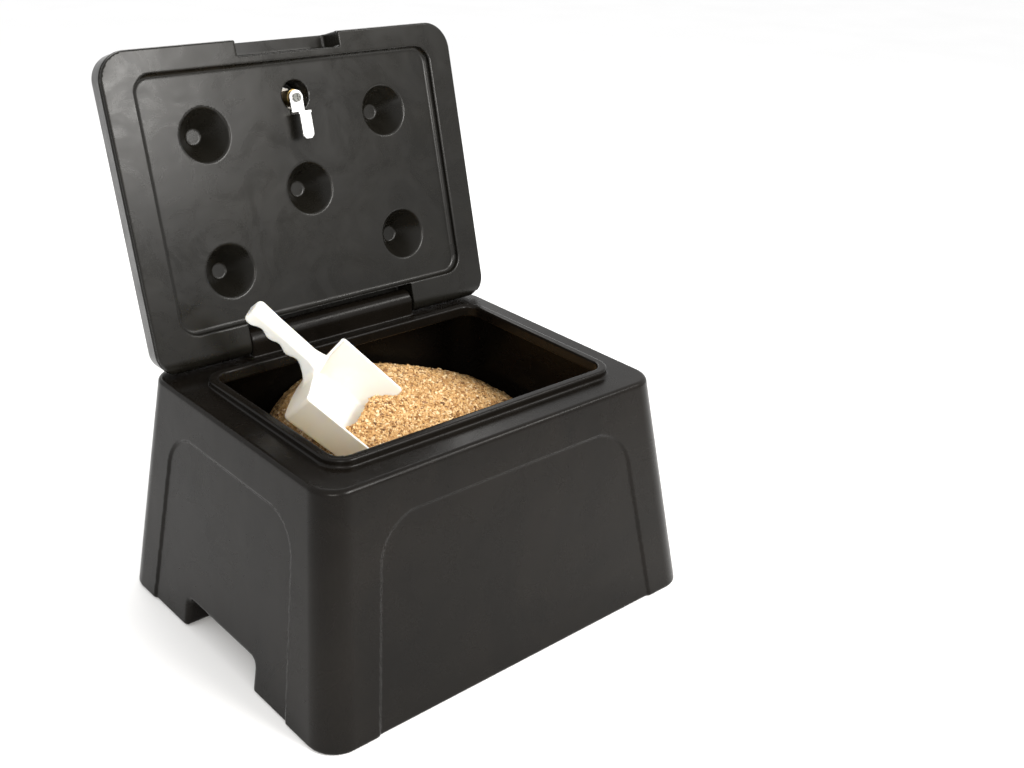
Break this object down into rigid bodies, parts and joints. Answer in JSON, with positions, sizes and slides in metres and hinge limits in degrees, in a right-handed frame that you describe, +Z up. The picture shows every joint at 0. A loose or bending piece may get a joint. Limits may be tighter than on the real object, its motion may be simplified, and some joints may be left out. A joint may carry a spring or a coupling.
{
  "type": "grit bin",
  "caption": "Lidded plastic grit bin: flared tub on two feet, hinged double-skin lid with a cam lock, heap of rock salt and a hand scoop for spreading it.",
  "frame": {"origin": "on the floor, under the middle of the box round the tub and its open lid", "axes": "+X to the right along the hinge, +Z up, -Y towards the side that opens, where the lock and the finger recess are"},
  "size_m": [0.5198, 0.4815, 0.5994],
  "materials": {
    "tub_plastic": "satin moulded polyethylene",
    "lid_plastic": "satin moulded polyethylene, slightly mottled",
    "cap_plastic": "satin",
    "pin_steel": "plain bright rod",
    "salt": "loose coarse brown grains",
    "lock_brass": "satin",
    "plug_brass": "satin",
    "wafer_brass": "stamped",
    "seal_rubber": "matt",
    "washer_steel": "zinc plated",
    "spring_steel": "spring wire",
    "nut_chrome": "bright plated",
    "cam_steel": "bright zinc plated",
    "screw_steel": "bright zinc plated",
    "scoop_plastic": "smooth white injection moulding"
  },
  "bodies": {
    "bin": {"bin_body": "tub_plastic", "hinge_pin": "pin_steel", "rock_salt": "salt"},
    "lid": {"lid": "lid_plastic", "pin_cap": "cap_plastic", "lock_housing": "lock_brass", "lock_seal": "seal_rubber", "nut_washer": "washer_steel", "lock_nut": "nut_chrome"},
    "cam_lock": {"lock_plug": "plug_brass", "wafers": "wafer_brass", "wafer_springs": "spring_steel", "stop_washer": "washer_steel", "cam": "cam_steel", "cam_washer": "washer_steel", "cam_screw": "screw_steel"},
    "scoop": {"scoop": "scoop_plastic"}
  },
  "joints": [
    {"name": "lid_hinge", "type": "hinge", "parent": "bin", "child": "lid", "pos_m": [0, 0.1306, 0.2796], "axis": [1, 0, 0], "range_deg": [0, 105.5]},
    {"name": "lock_turn", "type": "hinge", "parent": "lid", "child": "cam_lock", "pos_m": [0, 0.18436, 0.53482], "axis": [0, 0.9636, -0.2672], "range_deg": [0, 180]},
    {"name": "scoop_slide", "type": "slide", "parent": "bin", "child": "scoop", "axis": [0.5997, -0.54, -0.5906], "range_m": [0, 0.155]}
  ],
  "couplings": [
    {"joint": "scoop_slide", "follows": "lid_hinge", "m_per_rad": 0.0841}
  ]
}
